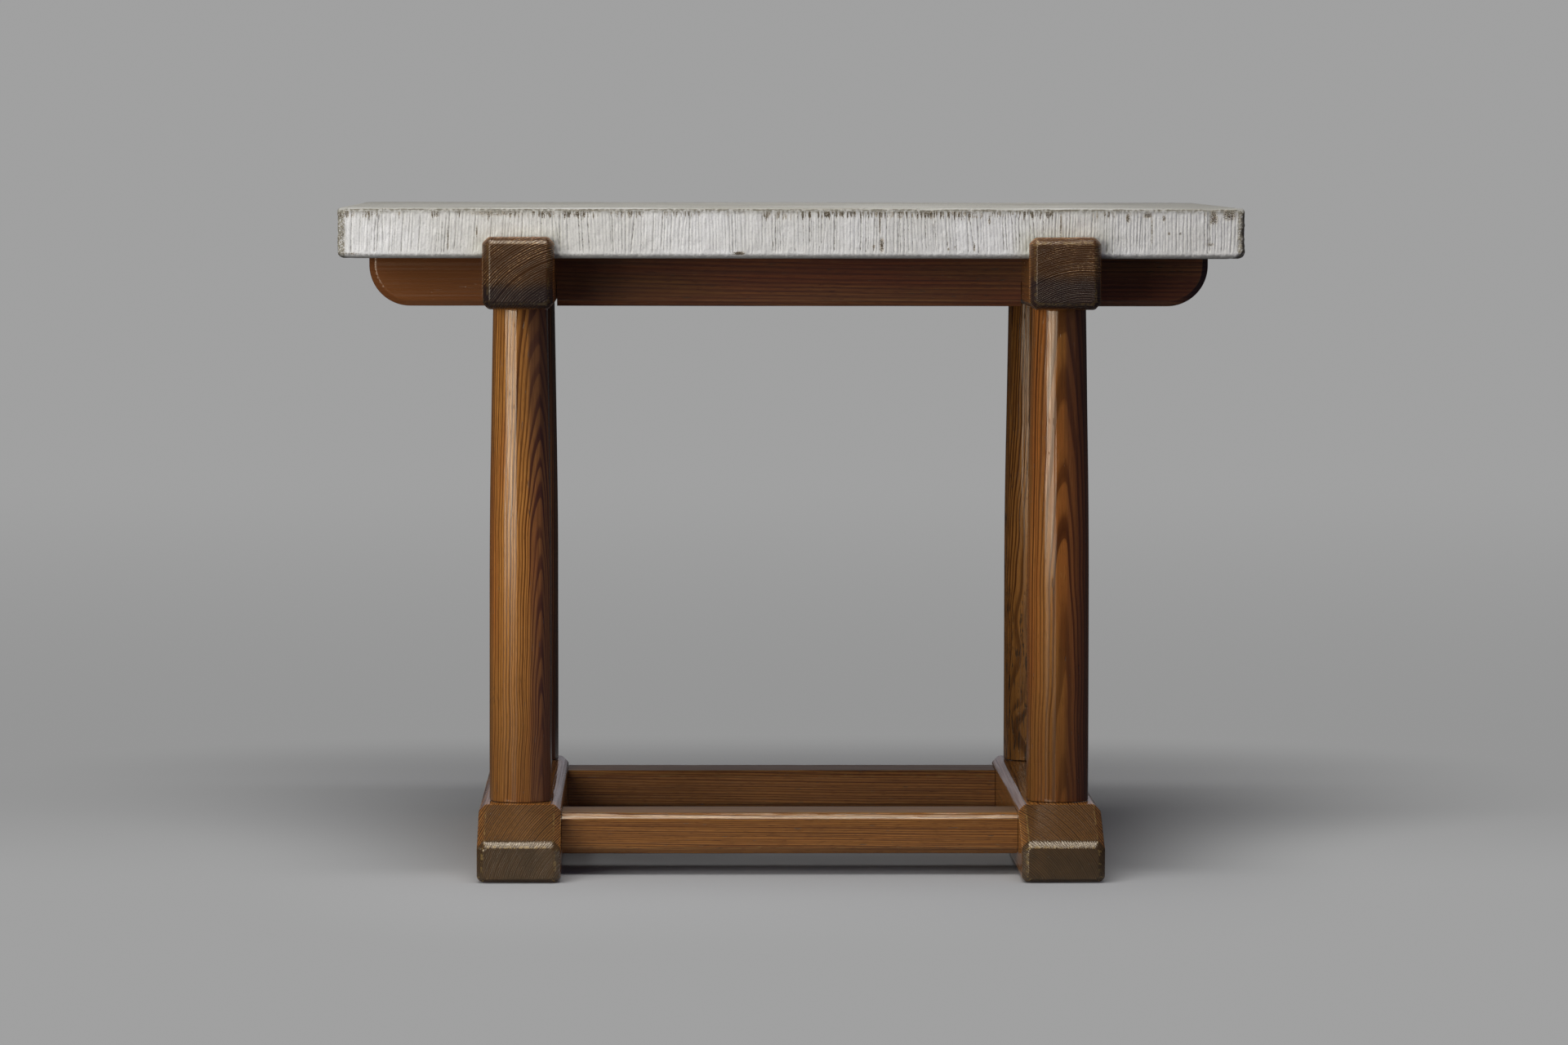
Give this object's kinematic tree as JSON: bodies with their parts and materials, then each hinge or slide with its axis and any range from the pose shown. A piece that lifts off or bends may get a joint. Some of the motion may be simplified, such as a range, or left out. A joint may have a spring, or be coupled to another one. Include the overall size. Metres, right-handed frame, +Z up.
{
  "type": "trestle table",
  "caption": "Console or side table with a thick loose stone slab on pine trestles, tapered round columns on sled feet, joined by rounded aprons and low stretchers.",
  "frame": {"origin": "on the floor, under the middle of the table", "axes": "+X along the width from left to right, +Y from the front to the back, +Z up"},
  "size_m": [1.004, 0.78, 0.7469],
  "materials": {
    "stone_top": "satin",
    "foot_wood": "satin",
    "bearer_wood": "satin",
    "apron_wood": "satin",
    "stretcher_wood": "satin",
    "column_wood": "satin",
    "wedge_wood": "matte"
  },
  "bodies": {
    "frame": {"foot_left": "foot_wood", "bearer_left": "bearer_wood", "foot_right": "foot_wood", "bearer_right": "bearer_wood", "apron_front": "apron_wood", "stretcher_front": "stretcher_wood", "apron_rear": "apron_wood", "stretcher_rear": "stretcher_wood", "column_front_left": "column_wood", "wedge_top_front_left": "wedge_wood", "wedge_bottom_front_left": "wedge_wood", "peg_front_left": "wedge_wood", "column_front_right": "column_wood", "wedge_top_front_right": "wedge_wood", "wedge_bottom_front_right": "wedge_wood", "peg_front_right": "wedge_wood", "column_rear_left": "column_wood", "wedge_top_rear_left": "wedge_wood", "wedge_bottom_rear_left": "wedge_wood", "peg_rear_left": "wedge_wood", "column_rear_right": "column_wood", "wedge_top_rear_right": "wedge_wood", "wedge_bottom_rear_right": "wedge_wood", "peg_rear_right": "wedge_wood"},
    "top": {"slab": "stone_top"}
  },
  "joints": [
    {"name": "slab_lift", "type": "slide", "parent": "frame", "child": "top", "axis": [0, 0, 1], "range_m": [0, 0.06]}
  ]
}
